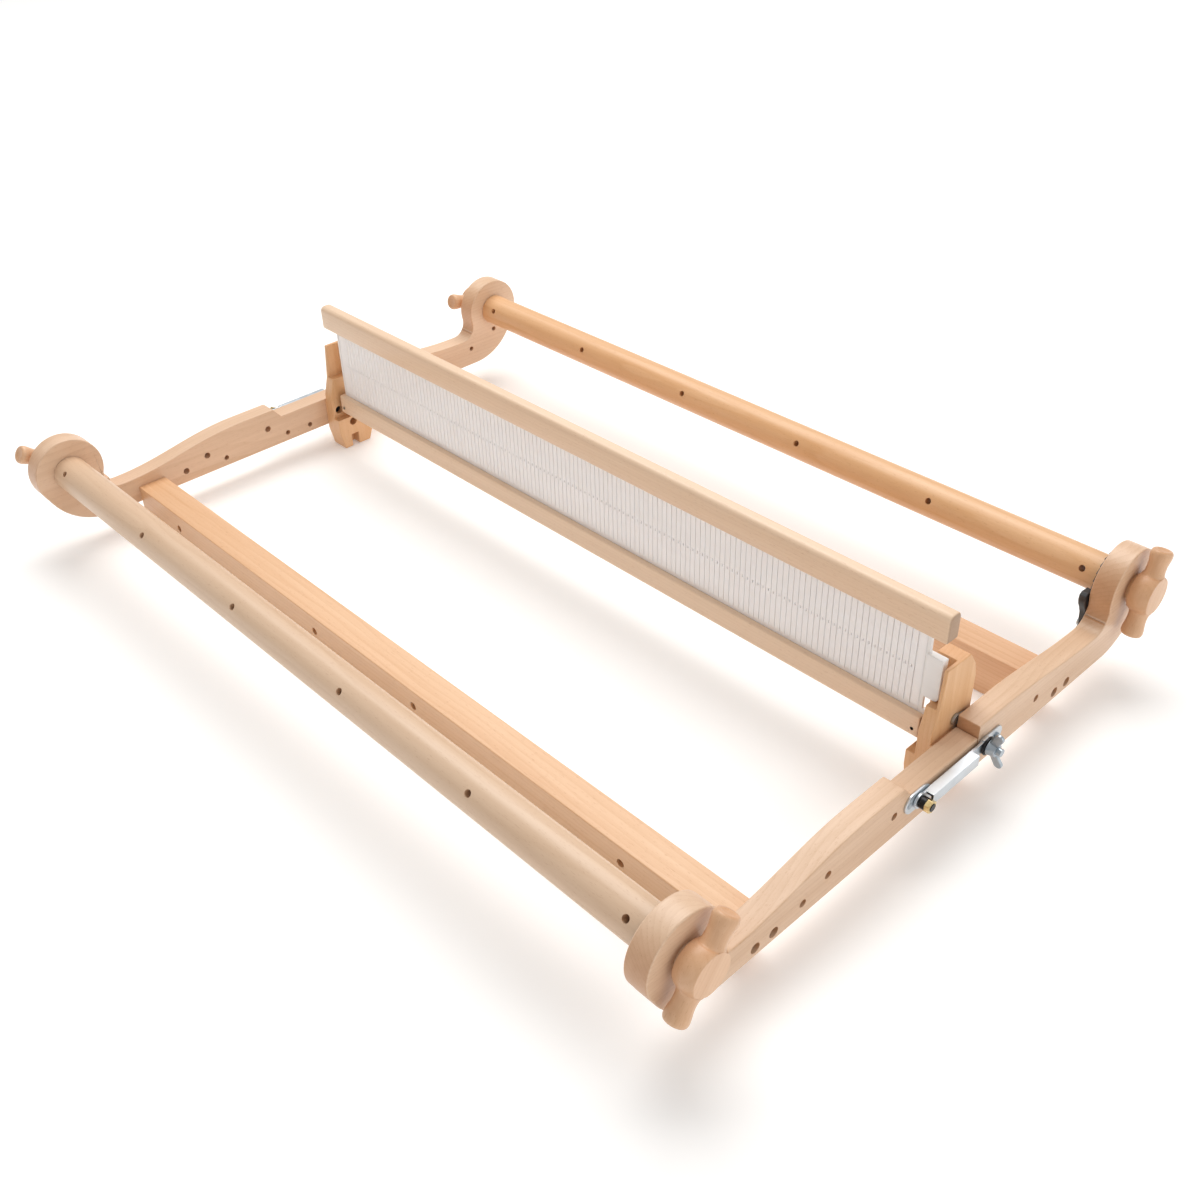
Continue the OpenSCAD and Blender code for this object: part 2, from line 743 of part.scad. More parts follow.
front_side(-1);  // left_front_side
front_side(1);  // right_front_side
front_cross_rail();
heddle_block(-1);  // left_heddle_block
heddle_block(1);  // right_heddle_block
heddle_block_screws();
hinge_pins();
cross_rail_screws(-front_cross_y);  // front_cross_rail_screws
latch_base_plates();
latch_base_screws();
latch_pivot_pins();
latch_pivot_nuts();
pawl_screw(-1);  // front_pawl_screw
back_side(-1);  // left_back_side
back_side(1);  // right_back_side
rear_cross_rail();
cross_rail_screws(rear_cross_y);  // rear_cross_rail_screws
hinge_plate(-1);  // left_hinge_plate
hinge_plate(1);  // right_hinge_plate
hinge_plate_screws();
latch_anchor_plates();
latch_anchor_screws();
clamp_studs();
clamp_washers();
pawl_screw(1);  // rear_pawl_screw
roller(-axis_y, front_hole_angle);  // front_roller
handle(-1, -axis_y, handle_angles[0]);  // left_front_handle
handle(1, -axis_y, handle_angles[1]);  // right_front_handle
ratchet_wheel(-axis_y, -1);  // front_ratchet_wheel
roller(axis_y, rear_hole_angle);  // rear_roller
handle(-1, axis_y, handle_angles[2]);  // left_rear_handle
handle(1, axis_y, handle_angles[3]);  // right_rear_handle
ratchet_wheel(axis_y, 1);  // rear_ratchet_wheel
pawl(-1);  // front_pawl
pawl(1);  // rear_pawl
latch_bar(-1);  // left_latch_bar
latch_bar(1);  // right_latch_bar
wing_nut(-1);  // left_wing_nut
wing_nut(1);  // right_wing_nut
heddle_top_bar();
heddle_bottom_bar();
heddle_reed();
heddle_end(-1);  // left_heddle_end
heddle_end(1);  // right_heddle_end
heddle_end_pins();
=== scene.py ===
"""Folding rigid-heddle table loom: materials, rounded edges, reed, light and camera around the CAD frame."""
import json
import math

import bmesh
import bpy
from mathutils import Matrix, Vector


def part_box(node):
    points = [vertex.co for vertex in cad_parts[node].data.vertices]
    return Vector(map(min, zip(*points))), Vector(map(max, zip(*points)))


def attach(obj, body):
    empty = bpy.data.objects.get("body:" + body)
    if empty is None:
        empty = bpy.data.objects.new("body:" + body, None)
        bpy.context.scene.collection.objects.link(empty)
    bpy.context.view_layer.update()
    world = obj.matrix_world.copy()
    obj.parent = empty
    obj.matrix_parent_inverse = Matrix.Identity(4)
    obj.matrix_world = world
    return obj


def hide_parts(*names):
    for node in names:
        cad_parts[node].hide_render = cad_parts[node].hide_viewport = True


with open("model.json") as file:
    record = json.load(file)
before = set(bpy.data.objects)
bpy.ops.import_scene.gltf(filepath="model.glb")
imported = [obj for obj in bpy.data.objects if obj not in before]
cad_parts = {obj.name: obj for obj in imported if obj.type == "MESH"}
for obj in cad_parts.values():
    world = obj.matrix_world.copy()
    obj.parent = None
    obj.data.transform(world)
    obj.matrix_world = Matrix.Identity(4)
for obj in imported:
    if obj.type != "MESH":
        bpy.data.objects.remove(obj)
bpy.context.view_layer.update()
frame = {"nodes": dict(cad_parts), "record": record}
scene = bpy.context.scene
MM = 0.001
BODY = {n: b for b, ns in frame["record"]["behaviour"]["bodies"].items() for n in ns}

# ---------------------------------------------------------------- camera

CAMERA_AT = Vector((0.703393, -0.594845, 0.661133))
CAMERA_RIGHT = Vector((0.689806, 0.723566, -0.024897))
CAMERA_DOWN = Vector((0.411115, -0.419776, -0.809180))
CAMERA_AHEAD = Vector((-0.595946, 0.547942, -0.587033))
LENS_MM, SENSOR_MM = 39.398, 36.0


def make_camera():
    data = bpy.data.cameras.new("camera")
    data.lens = LENS_MM
    data.sensor_width = SENSOR_MM
    data.clip_start, data.clip_end = 0.02, 50.0
    cam = bpy.data.objects.new("camera", data)
    scene.collection.objects.link(cam)
    turn = Matrix((CAMERA_RIGHT, -CAMERA_DOWN, -CAMERA_AHEAD)).transposed()
    cam.matrix_world = Matrix.Translation(CAMERA_AT) @ turn.to_4x4()
    scene.camera = cam


# ---------------------------------------------------------------- node helpers

class Tree:
    """A small helper that builds a material's node tree."""

    def __init__(self, name):
        self.mat = bpy.data.materials.new(name)
        self.mat.use_nodes = True
        self.nt = self.mat.node_tree
        self.bsdf = self.nt.nodes["Principled BSDF"]

    def new(self, kind, **values):
        n = self.nt.nodes.new(kind)
        for k, v in values.items():
            setattr(n, k, v)
        return n

    def put(self, socket, value):
        if isinstance(value, bpy.types.NodeSocket):
            self.nt.links.new(value, socket)
        else:
            socket.default_value = value

    def math(self, op, a, b=0.0, clamp=False):
        n = self.new("ShaderNodeMath", operation=op, use_clamp=clamp)
        self.put(n.inputs[0], a)
        self.put(n.inputs[1], b)
        return n.outputs[0]

    def swing(self, fac, amount):
        """How far fac is from a half, times amount."""
        return self.math("MULTIPLY", self.math("SUBTRACT", fac, 0.5), amount)

    def vmath(self, op, a, b=(0, 0, 0)):
        n = self.new("ShaderNodeVectorMath", operation=op)
        self.put(n.inputs[0], a)
        self.put(n.inputs[1], b)
        return n.outputs["Value" if op in ("DOT_PRODUCT", "LENGTH") else "Vector"]

    def coords(self, kind="Object"):
        return self.new("ShaderNodeTexCoord").outputs[kind]

    def noise(self, vec, scale=1.0, detail=2.0, rough=0.5):
        n = self.new("ShaderNodeTexNoise")
        self.put(n.inputs["Vector"], vec)
        n.inputs["Scale"].default_value = scale
        n.inputs["Detail"].default_value = detail
        n.inputs["Roughness"].default_value = rough
        return n.outputs["Fac"]

    def ramp(self, fac, stops):
        n = self.new("ShaderNodeValToRGB")
        e = n.color_ramp.elements
        while len(e) < len(stops):
            e.new(0.5)
        for el, (pos, col) in zip(e, stops):
            el.position = pos
            el.color = (*col, 1) if isinstance(col, tuple) else (col, col, col, 1)
        self.put(n.inputs["Fac"], fac)
        return n.outputs["Color"]

    def mix(self, fac, a, b, blend="MIX"):
        n = self.new("ShaderNodeMix", data_type="RGBA", blend_type=blend)
        self.put(n.inputs[0], fac)
        for i, v in ((6, a), (7, b)):
            self.put(n.inputs[i], (*v, 1) if isinstance(v, tuple) else v)
        return n.outputs[2]

    def scale(self, vec, by):
        return self.vmath("MULTIPLY", vec, by)

    def bump(self, height, strength, distance):
        n = self.new("ShaderNodeBump")
        n.inputs["Strength"].default_value = strength
        n.inputs["Distance"].default_value = distance
        self.put(n.inputs["Height"], height)
        return n.outputs["Normal"]

    def set(self, **values):
        for k, v in values.items():
            self.put(self.bsdf.inputs[k.replace("_", " ")], v)


# ---------------------------------------------------------------- wood

ALONG_X, ALONG_Y, ALONG_Z = (1, 0, 0), (0, 1, 0), (0, 0, 1)

# Lightest and darkest tone of each kind of beech
PLAIN = ((0.78, 0.555, 0.39), (0.60, 0.375, 0.22))
LIGHT = ((0.83, 0.60, 0.425), (0.66, 0.42, 0.255))
ROLLER = ((0.73, 0.525, 0.365), (0.57, 0.365, 0.215))
RAIL = ((0.81, 0.53, 0.32), (0.63, 0.34, 0.155))
ROSY = ((0.79, 0.52, 0.33), (0.60, 0.325, 0.16))
WARM = ((0.82, 0.525, 0.30), (0.66, 0.35, 0.145))
HEDDLE = ((0.88, 0.675, 0.495), (0.74, 0.53, 0.36))

RING_WIDTH = 3.2 * MM
STRAW_TINT = (1.03, 0.955, 0.90)
FLECK_TINT = (0.60, 0.40, 0.24)
# Tint that end grain darkens towards; on the side boards it also paints the shade of their front and back faces
END_GRAIN_AND_SHADE_TINT = (0.74, 0.53, 0.36)
HEDDLE_END_TINT = (0.46, 0.39, 0.34)


def wood(name, grain, seed, tones, pith=(0.09, -0.05), ring_mix=0.24, end_grain_and_shade_dark=0.30, end_grain_and_shade_tint=END_GRAIN_AND_SHADE_TINT):
    """Lacquered beech: grain is the fibres' direction, pith the place of the rings' centre beside the piece."""
    t = Tree(name)
    pale, deep = tones
    g = Vector(grain).normalized()
    a = Vector((1, 0, 0)) if abs(g.x) < 0.9 else Vector((0, 1, 0))
    b = g.cross(a).normalized()
    place = t.coords()
    comb = t.new("ShaderNodeCombineXYZ")
    for i, axis in enumerate((g, a, b)):
        t.put(comb.inputs[i], t.vmath("DOT_PRODUCT", place, tuple(axis)))
    local = comb.outputs[0]
    p = t.vmath("ADD", local, (seed * 1.37, seed * 0.73, seed * 0.31))

    # Growth rings: distance from the pith, bent by slow noise
    wander = t.noise(t.scale(p, (2.2, 14, 14)), detail=3.0)
    wander_fine = t.noise(t.scale(p, (9, 120, 120)))
    flat = t.scale(t.vmath("SUBTRACT", local, (0, pith[0], pith[1])), (0, 1, 1))
    radius = t.vmath("LENGTH", flat)
    radius = t.math("ADD", radius, t.swing(wander, 22 * MM))
    radius = t.math("ADD", radius, t.swing(wander_fine, 1.2 * MM))
    phase = t.math("FRACT", t.math("DIVIDE", radius, RING_WIDTH))
    rings = t.ramp(phase, [(0.0, 0.15), (0.55, 0.35), (0.86, 0.95), (0.93, 1.0), (1.0, 0.15)])

    # Streaks of a board, from broad bands to single fibres
    band = t.noise(t.scale(p, (1.3, 26, 26)), detail=3.0, rough=0.55)
    streak = t.noise(t.scale(p, (5, 210, 210)), detail=3.0, rough=0.6)
    fibre = t.noise(t.scale(p, (60, 2600, 2600)), rough=0.6)

    tone = t.math("MULTIPLY", rings, ring_mix)
    for fac, amount in ((band, 1.5), (streak, 0.60), (fibre, 0.32)):
        tone = t.math("ADD", tone, t.swing(fac, amount))
    tone = t.math("ADD", tone, 0.32, clamp=True)
    mid = tuple((x + y) / 2 for x, y in zip(pale, deep))
    colour = t.ramp(tone, [(0.0, pale), (0.5, mid), (1.0, deep)])

    # Slow drift between rosy and straw-coloured wood
    drift = t.ramp(t.noise(t.scale(p, (3, 9, 9)), detail=1.0), [(0.35, 0.0), (0.65, 1.0)])
    colour = t.mix(t.math("MULTIPLY", drift, 0.35), colour, STRAW_TINT, "MULTIPLY")

    # Rays: short brown flecks along the grain
    flecks = t.noise(t.scale(p, (230, 1900, 1900)), detail=1.0)
    fleck_mask = t.ramp(flecks, [(0.66, 0.0), (0.72, 1.0)])
    colour = t.mix(t.math("MULTIPLY", fleck_mask, 0.30), colour, FLECK_TINT, "MULTIPLY")

    # End grain takes the lacquer darker; on the side boards, whose grain runs along Y, the stronger darkening
    # also paints the shade on their faces turned to the front and back
    facing = t.math("ABSOLUTE", t.vmath("DOT_PRODUCT", t.coords("Normal"), tuple(g)))
    end_grain_and_shade_mask = t.ramp(facing, [(0.45, 0.0), (0.95, 1.0)])
    colour = t.mix(t.math("MULTIPLY", end_grain_and_shade_mask, end_grain_and_shade_dark), colour, end_grain_and_shade_tint, "MULTIPLY")

    # Handling marks: soft patches where the lacquer is duller
    marks = t.noise(t.scale(place, (14, 14, 14)), detail=4.0, rough=0.6)
    rough = t.math("ADD", t.ramp(marks, [(0.30, 0.36), (0.75, 0.50)]), t.swing(streak, 0.12))
    height = t.math("ADD", t.math("MULTIPLY", fibre, 0.6), t.math("MULTIPLY", rings, 0.5))
    height = t.math("SUBTRACT", height, t.math("MULTIPLY", fleck_mask, 0.8))
    t.set(Base_Color=colour, Roughness=rough, Normal=t.bump(height, 0.30, 0.00012))
    t.set(Coat_Weight=0.22, Coat_Roughness=0.28, Specular_IOR_Level=0.42)
    return t.mat


# ---------------------------------------------------------------- other materials

BRIGHT_ZINC = (0.66, 0.71, 0.755)
DULL_ZINC = (0.46, 0.52, 0.57)
TARNISH = (0.50, 0.52, 0.55)


def zinc(name, tint, seed, rough):
    t = Tree(name)
    p = t.vmath("ADD", t.coords(), (seed, 0, 0))
    cloud = t.noise(p, 70.0, 3.0, 0.55)
    grainy = t.noise(t.scale(p, (300, 2400, 2400)))
    spots = t.noise(p, 900.0)
    dark = tuple(0.86 * v for v in tint)
    colour = t.ramp(cloud, [(0.28, dark), (0.62, tint)])
    tarnish = t.ramp(spots, [(0.62, 0.0), (0.75, 1.0)])
    colour = t.mix(t.math("MULTIPLY", tarnish, 0.15), colour, TARNISH)
    r = t.ramp(cloud, [(0.3, rough[0]), (0.8, rough[1])])
    r = t.math("ADD", r, t.swing(grainy, 0.15))
    t.set(Base_Color=colour, Roughness=r, Metallic=1.0, Normal=t.bump(grainy, 0.05, 0.00003))
    return t.mat


def black(name, metallic, rough):
    t = Tree(name)
    p = t.coords()
    mottled = t.noise(p, 1800.0)
    dust = t.noise(p, 120.0, 4.0, 0.65)
    colour = t.ramp(dust, [(0.40, (0.012, 0.012, 0.014)), (0.80, (0.040, 0.039, 0.040))])
    r = t.ramp(dust, [(0.35, rough[0]), (0.75, rough[1])])
    t.set(Base_Color=colour, Roughness=r, Metallic=metallic, Normal=t.bump(mottled, 0.25, 0.00004))
    return t.mat


def brass():
    t = Tree("brass")
    p = t.coords()
    cloud = t.noise(p, 220.0, 4.0, 0.6)
    colour = t.ramp(cloud, [(0.3, (0.60, 0.44, 0.20)), (0.7, (0.83, 0.66, 0.36))])
    r = t.ramp(cloud, [(0.3, 0.40), (0.7, 0.22)])
    t.set(Base_Color=colour, Roughness=r, Metallic=1.0, Normal=t.bump(t.noise(p, 2000.0), 0.2, 0.00004))
    return t.mat


def plastic(name, base, shade, rough, glow):
    """White moulded plastic with faint flow marks; glow is how much light passes under its skin."""
    t = Tree(name)
    p = t.coords()
    flow = t.noise(t.scale(p, (18, 18, 70)), detail=3.0, rough=0.55)
    fine = t.noise(p, 1500.0)
    colour = t.ramp(flow, [(0.3, shade), (0.7, base)])
    r = t.ramp(flow, [(0.3, rough + 0.10), (0.75, rough - 0.04)])
    t.set(Base_Color=colour, Roughness=r, Normal=t.bump(fine, 0.12, 0.00004))
    t.set(Subsurface_Weight=glow, Subsurface_Radius=(0.004, 0.0038, 0.0035), Subsurface_Scale=1.0)
    return t.mat


# ---------------------------------------------------------------- shapes

SAME_POINT = 0.002 * MM


def from_bmesh(name, bm, material, body):
    """A piece made of bm, which rides on body."""
    me = bpy.data.meshes.new(name)
    bm.to_mesh(me)
    bm.free()
    ob = bpy.data.objects.new(name, me)
    scene.collection.objects.link(ob)
    me.materials.append(material)
    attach(ob, body)
    return ob


def copy_of(node, weld):
    """The mesh of a CAD node, with points nearer than weld joined."""
    bm = bmesh.new()
    bm.from_mesh(frame["nodes"][node].data)
    bmesh.ops.remove_doubles(bm, verts=bm.verts, dist=weld)
    for f in bm.faces:
        f.smooth = True
        f.material_index = 0
    return bm


def shade_smooth(bm, crisp_deg):
    """Faces shaded smooth, with the edges sharper than crisp_deg kept crisp."""
    bmesh.ops.recalc_face_normals(bm, faces=bm.faces)
    for f in bm.faces:
        f.smooth = True
    for e in bm.edges:
        if len(e.link_faces) == 2 and e.calc_face_angle(0.0) > math.radians(crisp_deg):
            e.smooth = False


def edge_groups(edges):
    """Splits edges into groups that hang together."""
    left = set(edges)
    groups = []
    while left:
        todo = [left.pop()]
        group = []
        while todo:
            e = todo.pop()
            group.append(e)
            for v in e.verts:
                for other in v.link_edges:
                    if other in left:
                        left.remove(other)
                        todo.append(other)
        groups.append(group)
    return groups


def span(edges):
    pts = [v.co for e in edges for v in e.verts]
    return max(max(p[i] for p in pts) - min(p[i] for p in pts) for i in range(3))


def rounded(node, material, width, segments=3, sharp=32.0, hole=0.0, hole_width=0.0, weld=SAME_POINT):
    """A copy of a CAD node with its arrises rounded by width, and rims smaller than hole by hole_width."""
    bm = copy_of(node, weld)
    bmesh.ops.dissolve_limit(bm, angle_limit=math.radians(0.4), verts=bm.verts, edges=bm.edges)
    limit = math.radians(sharp)
    layer = bm.edges.layers.float.new("bevel_weight_edge")
    crisp = [e for e in bm.edges if len(e.link_faces) == 2 and e.calc_face_angle(0.0) > limit]
    for group in edge_groups(crisp):
        weight = hole_width / width if span(group) < hole else 1.0
        for e in group:
            e[layer] = weight
    ob = from_bmesh(node + "_shape", bm, material, BODY[node])
    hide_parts(node)
    bevel = ob.modifiers.new("arris", "BEVEL")
    bevel.limit_method = "WEIGHT"
    bevel.width = width
    bevel.segments = segments
    bevel.use_clamp_overlap = False
    normals = ob.modifiers.new("normals", "WEIGHTED_NORMAL")
    normals.keep_sharp = True
    normals.weight = 80


def turned(node, material):
    """A copy of a roller whose round surfaces are shaded by the direction away from its axis."""
    lo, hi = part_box(node)
    axis = (lo + hi) / 2
    bm = copy_of(node, SAME_POINT)
    bm.normal_update()
    normals = []
    for f in bm.faces:
        away = f.calc_center_median() - axis
        away.x = 0
        round_face = abs(f.normal.x) < 0.1 and away.length > 0 and f.normal.dot(away.normalized()) > 0.97
        for loop in f.loops:
            out = loop.vert.co - axis
            out.x = 0
            normals.append(out.normalized() if round_face and out.length > 0 else f.normal.copy())
    ob = from_bmesh(node + "_shape", bm, material, BODY[node])
    ob.data.normals_split_custom_set(normals)
    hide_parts(node)


GROOVE_HALF, GROOVE_DEPTH, GROOVE_SPARE = 1.2 * MM, 6 * MM, 1 * MM
OUTER_ARRIS, GROOVE_ARRIS, LEAST_ARRIS = 4.6 * MM, 1.2 * MM, 0.2 * MM
END_ROUND = 1.6 * MM


def heddle_bar(node, material, groove_up):
    """A heddle bar: a strip with softly rounded outer arrises, rounded ends, and a groove for the reed."""
    lo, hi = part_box(node)
    y, z = (lo.y + hi.y) / 2, (lo.z + hi.z) / 2
    hw, hh = (hi.y - lo.y) / 2, (hi.z - lo.z) / 2
    reed_lo, reed_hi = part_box("heddle_reed")
    g0, g1 = reed_lo.x - GROOVE_SPARE, reed_hi.x + GROOVE_SPARE
    flip = -1 if groove_up else 1

    def outline(inset, depth):
        def corner(cy, cz, radius, start):
            rr = max(radius - inset, LEAST_ARRIS)
            cy, cz = cy * (hw - inset - rr), cz * (hh - inset - rr)
            turns = [math.radians(start + 15 * k) for k in range(7)]
            return [(cy + rr * math.cos(a), cz + rr * math.sin(a)) for a in turns]

        pts = corner(1, 1, OUTER_ARRIS, 0) + corner(-1, 1, OUTER_ARRIS, 90) + corner(-1, -1, GROOVE_ARRIS, 180)
        edge, bottom = inset - hh, max(depth, inset) - hh
        pts += [(-GROOVE_HALF, edge), (-GROOVE_HALF, bottom), (GROOVE_HALF, bottom), (GROOVE_HALF, edge)]
        return pts + corner(1, -1, GROOVE_ARRIS, 270)

    bm = bmesh.new()
    rows = []
    turns = [math.radians(a) for a in (0, 30, 60, 90)]
    steps = [(END_ROUND * (1 - math.sin(a)), END_ROUND * (1 - math.cos(a))) for a in turns]
    stations = [(lo.x + out, inset, 0.0) for inset, out in steps]
    stations += [(g0, 0.0, 0.0), (g0, 0.0, GROOVE_DEPTH), (g1, 0.0, GROOVE_DEPTH), (g1, 0.0, 0.0)]
    stations += [(hi.x - out, inset, 0.0) for inset, out in steps[::-1]]
    for x, inset, depth in stations:
        rows.append([bm.verts.new((x, y + py, z + flip * pz)) for py, pz in outline(inset, depth)])
    n = len(rows[0])
    for a, b in zip(rows, rows[1:]):
        for k in range(n):
            bm.faces.new((a[k], a[(k + 1) % n], b[(k + 1) % n], b[k]))
    bm.faces.new(rows[0])
    bm.faces.new(rows[-1][::-1])
    bmesh.ops.remove_doubles(bm, verts=bm.verts, dist=SAME_POINT / 2)
    shade_smooth(bm, 40)
    ob = from_bmesh(node + "_shape", bm, material, BODY[node])
    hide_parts(node)


# ---------------------------------------------------------------- stage and light

def floor_material():
    t = Tree("floor")
    tone = t.ramp(t.noise(t.coords(), 3.0, 3.0), [(0.3, (0.955, 0.955, 0.95)), (0.7, (0.975, 0.975, 0.97))])
    t.set(Base_Color=tone, Roughness=0.85, Specular_IOR_Level=0.1)
    t.set(Emission_Color=(1, 1, 1, 1), Emission_Strength=0.13)
    return t.mat


def area(name, at, target, size, power, colour):
    data = bpy.data.lights.new(name, "AREA")
    data.shape = "RECTANGLE"
    data.size, data.size_y = size
    data.energy = power
    data.color = colour
    ob = bpy.data.objects.new(name, data)
    scene.collection.objects.link(ob)
    ob.location = at
    ob.rotation_euler = (Vector(target) - Vector(at)).to_track_quat("-Z", "Y").to_euler()


def stage():
    bm = bmesh.new()
    bmesh.ops.create_grid(bm, x_segments=1, y_segments=1, size=12.0)
    me = bpy.data.meshes.new("floor")
    bm.to_mesh(me)
    bm.free()
    floor = bpy.data.objects.new("floor", me)
    scene.collection.objects.link(floor)
    floor.location.z = -0.2 * MM
    me.materials.append(floor_material())
    world = bpy.data.worlds.new("studio")
    scene.world = world
    world.use_nodes = True
    bg = world.node_tree.nodes["Background"]
    bg.inputs["Color"].default_value = (1.0, 0.99, 0.98, 1)
    bg.inputs["Strength"].default_value = 0.53
    area("key", (-1.1, 0.9, 2.6), (0, 0, 0), (2.6, 2.0), 71, (1.0, 0.99, 0.975))
    area("side", (2.5, 0.5, 1.2), (0, 0, 0.05), (2.2, 1.6), 13, (1.0, 0.99, 0.98))
    scene.view_settings.view_transform = "Standard"
    scene.view_settings.look = "None"
    scene.view_settings.exposure = 0.0


# ---------------------------------------------------------------- the loom

SLAT_PITCH = 5.1 * MM
SLAT_HALF, EYE_SWELL, ROOT_SWELL = 2.24 * MM, 0.10 * MM, 0.21 * MM
EYE_REACH, ROOT_REACH = 6.5 * MM, 3 * MM
SLAT_STEPS = 20
STRIP_H = 9 * MM
END_GAP = 0.25 * MM
EYE_W, EYE_H, EYE_POINTS = 0.55 * MM, 1.5 * MM, 12


def add_box(bm, lo, hi):
    m = Matrix.Translation([(a + b) / 2 for a, b in zip(lo, hi)])
    m = m @ Matrix.Diagonal((*(b - a for a, b in zip(lo, hi)), 1))
    bmesh.ops.create_cube(bm, size=1.0, matrix=m)


def slat_side(z0, z1):
    """Half width and height of a slat from foot to head: straight, wider round the eye and at its roots."""
    zm = (z0 + z1) / 2
    pts = []
    for k in range(SLAT_STEPS + 1):
        z = z0 + (z1 - z0) * k / SLAT_STEPS
        swell = math.exp(-((z - zm) / EYE_REACH) ** 2)
        root = max(0.0, 1 - min(z - z0, z1 - z) / ROOT_REACH)
        pts.append((SLAT_HALF + EYE_SWELL * swell + ROOT_SWELL * root ** 2, z))
    return pts


def add_eye(bm, x, y, zm, loop):
    """An oval rim in the middle of a slat's face, joined to the loop of points round it."""
    rim = []
    for k in range(EYE_POINTS):
        ang = 2 * math.pi * k / EYE_POINTS + math.pi / EYE_POINTS
        rim.append(bm.verts.new((x + EYE_W * math.cos(ang), y, zm + EYE_H * math.sin(ang))))
    pairs = list(zip(loop, loop[1:] + loop[:1]))
    edges = [bm.edges.get(pair) or bm.edges.new(pair) for pair in pairs]
    edges += [bm.edges.new(pair) for pair in zip(rim, rim[1:] + rim[:1])]
    bmesh.ops.bridge_loops(bm, edges=edges)
    return rim


def add_slat(bm, x, y, half_t, side):
    """One slat: a rounded strip with an eye through its middle."""
    outline = [(x + w, z) for w, z in side] + [(x - w, z) for w, z in side[::-1]]
    front, back = [], []
    for px, pz in outline:
        edge_f = bm.verts.new((px, y - half_t * 0.35, pz))
        edge_b = bm.verts.new((px, y + half_t * 0.35, pz))
        inner_x = x + (px - x) * 0.97
        front.append((bm.verts.new((inner_x, y - half_t, pz)), edge_f))
        back.append((bm.verts.new((inner_x, y + half_t, pz)), edge_b))
    n = len(outline)
    for k in range(n):
        m = (k + 1) % n
        bm.faces.new((front[k][0], front[m][0], front[m][1], front[k][1]))
        bm.faces.new((front[k][1], front[m][1], back[m][1], back[k][1]))
        bm.faces.new((back[k][1], back[m][1], back[m][0], back[k][0]))
    middle = SLAT_STEPS // 2
    k0, k1 = middle - 1, middle + 1
    rims = []
    for verts, sign in ((front, 1), (back, -1)):
        inner = [v[0] for v in verts]
        for k in list(range(k0)) + list(range(k1, SLAT_STEPS)):
            quad = (inner[k], inner[n - 1 - k], inner[n - 2 - k], inner[k + 1])
            bm.faces.new(quad if sign == 1 else quad[::-1])
        loop = inner[k0:k1 + 1] + [inner[n - 1 - k] for k in range(k1, k0 - 1, -1)]
        rims.append(add_eye(bm, x, y - sign * half_t * 0.9, side[middle][1], loop))
    for k in range(EYE_POINTS):
        m = (k + 1) % EYE_POINTS
        bm.faces.new((rims[0][k], rims[1][k], rims[1][m], rims[0][m]))


def slats(body, material):
    """The reed: slats with an eye in the middle, in a frame whose long sides sit in the bars' grooves."""
    lo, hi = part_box("heddle_reed")
    y = (lo.y + hi.y) / 2
    half_t = (hi.y - lo.y) / 2
    y0, y1 = y - half_t * 0.8, y + half_t * 0.8
    z0, z1 = lo.z + STRIP_H, hi.z - STRIP_H
    count = int((hi.x - lo.x - 10 * MM) / SLAT_PITCH)
    first = -count / 2 * SLAT_PITCH
    bm = bmesh.new()
    add_box(bm, (lo.x, y0, lo.z), (hi.x, y1, z0))
    add_box(bm, (lo.x, y0, z1), (hi.x, y1, hi.z))
    add_box(bm, (lo.x, y0, z0), (first - END_GAP, y1, z1))
    add_box(bm, (END_GAP - first, y0, z0), (hi.x, y1, z1))
    side = slat_side(z0, z1)
    for i in range(count):
        add_slat(bm, first + (i + 0.5) * SLAT_PITCH, y, half_t, side)
    shade_smooth(bm, 50)
    ob = from_bmesh("reed_slats", bm, material, body)
    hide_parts("heddle_reed")


# Side boards: name of the wood, seed, tones, pith and darkness of the end grain, set high enough to also paint
# the shade on the boards' faces turned to the front and back
SIDES = {
    "left_front_side": ("beech_left_front", 1.0, PLAIN, (0.11, 0.09), 0.6),
    "right_front_side": ("beech_right_front", 2.0, PLAIN, (0.30, 0.05), 0.75),
    "left_back_side": ("beech_left_back", 3.0, LIGHT, (-0.28, 0.10), 0.75),
    "right_back_side": ("beech_right_back", 4.0, PLAIN, (0.47, 0.08), 0.75),
}
# Handles: angle of the handle's length above +Y in degrees, and seed
HANDLES = {
    "left_front_handle": (147, 9.0),
    "right_front_handle": (53, 10.0),
    "left_rear_handle": (164, 11.0),
    "right_rear_handle": (73, 12.0),
}
BRIGHT_METAL = ("latch_base_plates", "latch_anchor_plates", "left_latch_bar", "right_latch_bar")
DULL_METAL = ("hinge_pins", "latch_base_screws", "front_pawl_screw", "left_hinge_plate", "right_hinge_plate",
              "hinge_plate_screws", "latch_anchor_screws", "clamp_studs", "rear_pawl_screw", "heddle_end_pins")
BLACK_PLASTIC = ("front_ratchet_wheel", "rear_ratchet_wheel", "front_pawl", "rear_pawl")
BLACK_STEEL = ("latch_pivot_pins", "clamp_washers", "heddle_block_screws", "front_cross_rail_screws",
               "rear_cross_rail_screws")


def build_frame():
    for n, (name, seed, tones, pith, dark) in SIDES.items():
        # The last column darkens the end grain and also paints the shade on each board's front and back faces
        m = wood(name, ALONG_Y, seed, tones, pith=pith, end_grain_and_shade_dark=dark)
        rounded(n, m, 1.1 * MM, hole=22 * MM, hole_width=0.25 * MM, weld=0.35 * MM)
    front = wood("beech_front_rail", ALONG_X, 5.0, RAIL, pith=(-0.12, 0.14))
    rear = wood("beech_rear_rail", ALONG_X, 6.0, ROSY, pith=(0.20, 0.13))
    for n, m in (("front_cross_rail", front), ("rear_cross_rail", rear)):
        rounded(n, m, 1.0 * MM, hole=8 * MM, hole_width=0.25 * MM)


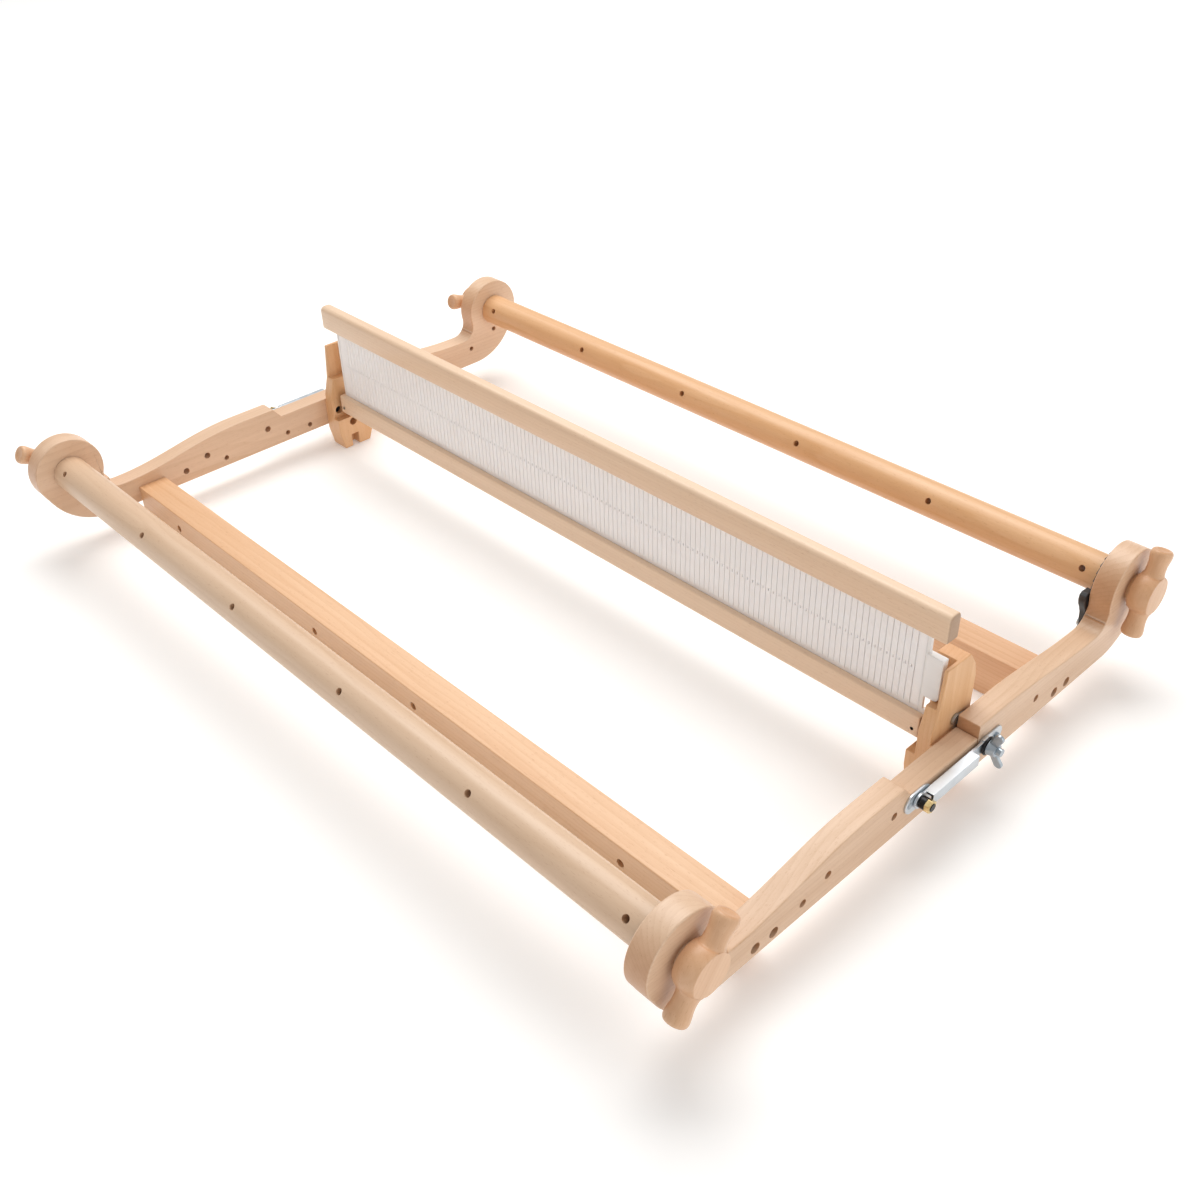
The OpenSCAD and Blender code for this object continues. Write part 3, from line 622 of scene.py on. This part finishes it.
def build_rollers():
    turned("front_roller", wood("beech_front_roller", ALONG_X, 7.0, ROLLER, pith=(-0.235, 0.06)))
    turned("rear_roller", wood("beech_rear_roller", ALONG_X, 8.0, WARM, pith=(0.26, 0.065)))
    for n, (angle, seed) in HANDLES.items():
        a = math.radians(angle)
        lo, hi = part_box(n)
        pith = ((lo.x + hi.x) / 2 + 30 * MM, 50 * MM)
        m = wood("beech_" + n, (0, math.cos(a), math.sin(a)), seed, ROSY, pith=pith, ring_mix=0.12)
        rounded(n, m, 0.4 * MM, 2, sharp=40.0)


def build_heddle_wood():
    for n, seed in (("left_heddle_block", 13.0), ("right_heddle_block", 14.0)):
        m = wood("beech_" + n, ALONG_Z, seed, WARM)
        rounded(n, m, 0.8 * MM, 2, hole=10 * MM, hole_width=0.2 * MM)
    for n, seed in (("heddle_top_bar", 15.0), ("heddle_bottom_bar", 16.0)):
        m = wood("beech_" + n, ALONG_X, seed, HEDDLE, pith=(0.05, 0.20), end_grain_and_shade_dark=0.95, end_grain_and_shade_tint=HEDDLE_END_TINT)
        heddle_bar(n, m, n == "heddle_bottom_bar")


def build_hardware():
    bright = zinc("zinc", BRIGHT_ZINC, 0.0, (0.30, 0.42))
    dull = zinc("zinc_dark", DULL_ZINC, 3.0, (0.28, 0.5))
    for n in BRIGHT_METAL:
        rounded(n, bright, 0.25 * MM, 2, hole=7 * MM, hole_width=0.08 * MM)
    for n in DULL_METAL:
        rounded(n, dull, 0.15 * MM, 2, hole=5 * MM, hole_width=0.08 * MM)
    for n in ("left_wing_nut", "right_wing_nut"):
        rounded(n, dull, 0.3 * MM, 2, sharp=45.0, hole=7 * MM, hole_width=0.05 * MM)
    black_plastic = black("black_plastic", 0.0, (0.32, 0.5))
    black_steel = black("black_steel", 0.6, (0.25, 0.42))
    for n in BLACK_PLASTIC:
        rounded(n, black_plastic, 0.25 * MM, 2)
    for n in BLACK_STEEL:
        rounded(n, black_steel, 0.3 * MM, 2, hole=7 * MM, hole_width=0.15 * MM)
    rounded("latch_pivot_nuts", brass(), 0.25 * MM, 2, hole=7 * MM, hole_width=0.05 * MM)


def build_reed():
    white = plastic("white_plastic", (0.90, 0.89, 0.88), (0.85, 0.84, 0.83), 0.32, 0.15)
    for n in ("left_heddle_end", "right_heddle_end"):
        rounded(n, white, 0.6 * MM)
    slats("heddle", plastic("reed_plastic", (0.96, 0.95, 0.955), (0.935, 0.92, 0.925), 0.40, 0.35))


make_camera()
stage()
build_frame()
build_rollers()
build_heddle_wood()
build_hardware()
build_reed()
